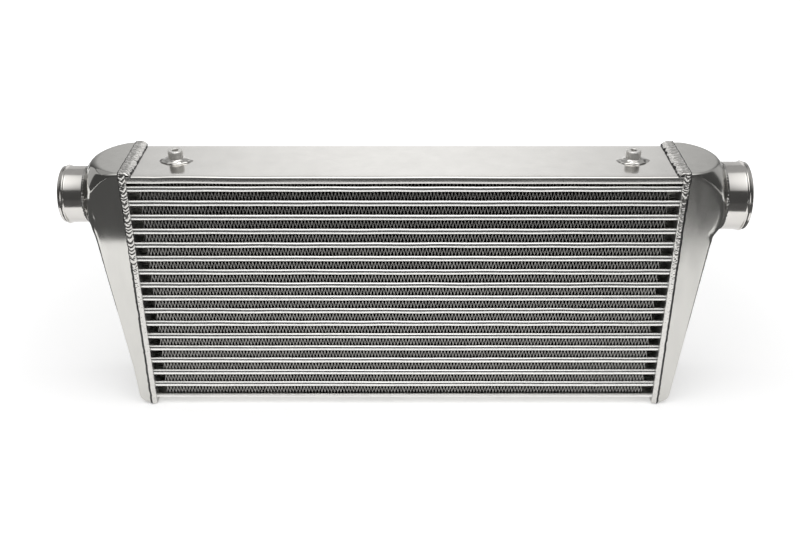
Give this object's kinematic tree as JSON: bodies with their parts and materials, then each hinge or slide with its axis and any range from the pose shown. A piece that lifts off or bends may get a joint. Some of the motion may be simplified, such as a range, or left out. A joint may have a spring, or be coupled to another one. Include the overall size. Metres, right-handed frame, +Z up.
{
  "type": "intercooler",
  "caption": "Front mount tube and fin intercooler: a flat core between two slanted end tanks, with a small hose pipe on the left, a larger one on the right and threaded bosses on top.",
  "frame": {"origin": "on the floor, under the middle of the overall length and depth", "axes": "+X along the core towards the larger pipe, -Y out of the face that meets the air, +Z up towards the mounting bosses"},
  "size_m": [0.765, 0.094, 0.3139],
  "materials": {
    "core_tube": "bright drawn aluminium tube",
    "air_fin": "thin folded strip, bright where it meets the tubes and dark between",
    "turbulator": "plain brazed strip",
    "side_plate": "polished sheet, nearly a mirror",
    "header_plate": "plain plate",
    "cast_tank": "cast and polished, soft reflections",
    "polished_pipe": "mirror polished",
    "weld_metal": "rippled weld bead, bright crests and dark roots",
    "turned_boss": "turned and bright"
  },
  "bodies": {
    "root": {"air_fin_01": "air_fin", "air_fin_02": "air_fin", "air_fin_03": "air_fin", "air_fin_04": "air_fin", "air_fin_05": "air_fin", "air_fin_06": "air_fin", "air_fin_07": "air_fin", "air_fin_08": "air_fin", "air_fin_09": "air_fin", "air_fin_10": "air_fin", "air_fin_11": "air_fin", "air_fin_12": "air_fin", "air_fin_13": "air_fin", "air_fin_14": "air_fin", "air_fin_15": "air_fin", "air_fin_16": "air_fin", "air_fin_17": "air_fin", "bottom_side_plate": "side_plate", "core_tube_01": "core_tube", "core_tube_02": "core_tube", "core_tube_03": "core_tube", "core_tube_04": "core_tube", "core_tube_05": "core_tube", "core_tube_06": "core_tube", "core_tube_07": "core_tube", "core_tube_08": "core_tube", "core_tube_09": "core_tube", "core_tube_10": "core_tube", "core_tube_11": "core_tube", "core_tube_12": "core_tube", "core_tube_13": "core_tube", "core_tube_14": "core_tube", "core_tube_15": "core_tube", "core_tube_16": "core_tube", "left_boss_weld": "weld_metal", "left_end_tank": "cast_tank", "left_header_plate": "header_plate", "left_mount_boss": "turned_boss", "left_pipe": "polished_pipe", "left_pipe_weld": "weld_metal", "left_tank_weld": "weld_metal", "right_boss_weld": "weld_metal", "right_end_tank": "cast_tank", "right_header_plate": "header_plate", "right_mount_boss": "turned_boss", "right_pipe": "polished_pipe", "right_pipe_weld": "weld_metal", "right_tank_weld": "weld_metal", "top_side_plate": "side_plate", "tube_turbulators": "turbulator"}
  },
  "joints": []
}
